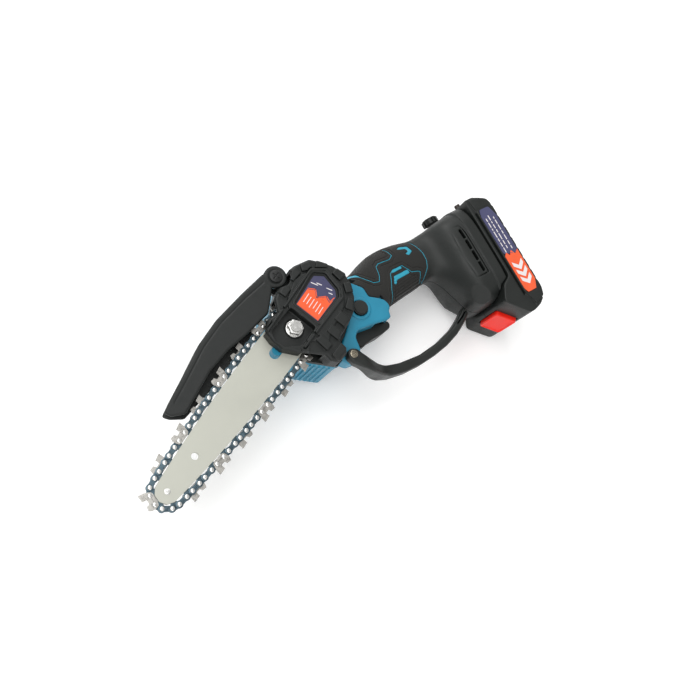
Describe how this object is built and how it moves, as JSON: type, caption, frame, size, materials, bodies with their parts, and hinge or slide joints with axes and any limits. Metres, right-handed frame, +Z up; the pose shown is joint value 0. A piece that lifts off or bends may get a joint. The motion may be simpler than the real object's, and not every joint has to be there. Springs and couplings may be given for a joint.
{
  "type": "cordless pruning chainsaw",
  "caption": "Small one-hand cordless pruning chainsaw with a side sprocket cover, upper chain guard, hand-guard bow and slide-on battery, lying on its side.",
  "frame": {"origin": "the sprocket's axis where it meets the bench that the saw lies on", "axes": "+Z up, out of the sprocket cover; -X along the guide bar to its nose; -Y to the trigger side"},
  "size_m": [0.3865, 0.2051, 0.081],
  "materials": {
    "case_black": "fine spark-eroded texture, satin",
    "teal_plastic": "satin moulded plastic",
    "grip_rubber": "soft matt overmould",
    "bar_steel": "ground and lacquered",
    "bright_steel": "bright zinc or polished",
    "blue_steel": "blued chain steel",
    "plate_alu": "die cast",
    "copper_winding": "enamelled winding",
    "spring_steel": "drawn wire",
    "latch_red": "satin red",
    "label_film": "printed film, no lettering",
    "board_green": "printed circuit board",
    "wire_red": "insulated wire",
    "cell_green": "cell sleeve",
    "fan_black": "moulded",
    "pin_brown": "moulded"
  },
  "bodies": {
    "main_body": {"motor_housing": "teal_plastic", "motor_end_cap": "case_black", "motor_mount_plate": "bright_steel", "gear_case_plate": "plate_alu", "motor_can": "bright_steel", "motor_stator": "copper_winding", "motor_bush": "copper_winding", "front_bearing": "bright_steel", "rear_bearing": "bright_steel", "guide_bar": "bar_steel", "nose_rivet": "bright_steel", "bar_stud": "bright_steel", "bar_locator": "teal_plastic", "tension_screw": "bright_steel", "chain_tie_straps": "blue_steel", "chain_cutters": "bright_steel", "chain_drive_links": "blue_steel", "chain_rivets": "bright_steel", "guard_screw": "blue_steel", "guard_spring": "spring_steel", "body_shell_near": "teal_plastic", "body_shell_far": "teal_plastic", "grip_rubber_near": "grip_rubber", "grip_rubber_far": "grip_rubber", "foot_shell_near": "case_black", "foot_shell_far": "case_black", "hand_guard_bow": "case_black", "bow_screw": "bright_steel", "trigger_pin": "bright_steel", "trigger_spring": "spring_steel", "switch_module": "fan_black", "lock_spring": "spring_steel", "controller_board": "board_green", "wire_set": "wire_red", "terminal_block": "fan_black", "shell_screws": "bright_steel", "lanyard_knob": "case_black"},
    "rotor": {"motor_rotor": "spring_steel", "motor_shaft": "bright_steel", "motor_pinion": "bright_steel", "cooling_fan": "fan_black"},
    "sprocket": {"output_gear": "blue_steel", "output_shaft": "bright_steel", "drive_sprocket": "blue_steel", "sprocket_clip": "blue_steel"},
    "nose_wheel": {"nose_sprocket": "bright_steel"},
    "trigger_lever": {"trigger": "case_black"},
    "lock_off": {"lock_button": "case_black"},
    "battery": {"battery_case": "case_black", "battery_cells": "cell_green", "battery_board": "board_green", "battery_label": "label_film", "latch_spring": "spring_steel", "battery_stop_pin": "pin_brown"},
    "latch": {"battery_latch": "latch_red"},
    "guard": {"chain_guard": "case_black"},
    "cover": {"sprocket_cover": "case_black", "cover_label": "label_film"},
    "nut": {"bar_nut": "bright_steel"}
  },
  "joints": [
    {"name": "sprocket_spin", "type": "hinge", "parent": "main_body", "child": "sprocket", "pos_m": [0, 0, 0.066], "axis": [0, 0, 1], "continuous": true},
    {"name": "rotor_spin", "type": "hinge", "parent": "main_body", "child": "rotor", "pos_m": [-0.01308, -0.01308, 0.03], "axis": [0, 0, 1], "continuous": true},
    {"name": "nose_spin", "type": "hinge", "parent": "main_body", "child": "nose_wheel", "pos_m": [-0.193, 0, 0.066], "axis": [0, 0, 1], "continuous": true},
    {"name": "trigger_pull", "type": "hinge", "parent": "main_body", "child": "trigger_lever", "pos_m": [0.00373, -0.0379, 0.038], "axis": [0, 0, 1], "range_deg": [0, 9], "stiffness_Nm_per_rad": 1.2, "springref_deg": -6.88, "deforming": ["trigger_spring"]},
    {"name": "lock_press", "type": "slide", "parent": "main_body", "child": "lock_off", "axis": [0, 0, -1], "range_m": [0, 0.003], "stiffness_N_per_m": 700, "springref_m": -0.002, "deforming": ["lock_spring"]},
    {"name": "battery_slide", "type": "slide", "parent": "main_body", "child": "battery", "axis": [-0.4067, -0.9135, 0], "range_m": [0, 0.1]},
    {"name": "latch_press", "type": "slide", "parent": "battery", "child": "latch", "axis": [0.9336, 0.3584, 0], "range_m": [0, 0.003], "stiffness_N_per_m": 900, "springref_m": -0.002, "deforming": ["latch_spring"]},
    {"name": "guard_swing", "type": "hinge", "parent": "main_body", "child": "guard", "pos_m": [-0.0151, 0.036, 0.073], "axis": [0, 0, -1], "range_deg": [0, 30], "stiffness_Nm_per_rad": 0.25, "springref_deg": -28.65},
    {"name": "cover_lift", "type": "slide", "parent": "main_body", "child": "cover", "axis": [0, 0, 1], "range_m": [0, 0.03]},
    {"name": "nut_turn", "type": "hinge", "parent": "cover", "child": "nut", "pos_m": [-0.0396, 0, 0.074], "axis": [0, 0, 1], "continuous": true}
  ],
  "couplings": [
    {"joint": "rotor_spin", "follows": "sprocket_spin", "ratio": -3.1111},
    {"joint": "nose_spin", "follows": "sprocket_spin", "ratio": 1.1667}
  ]
}
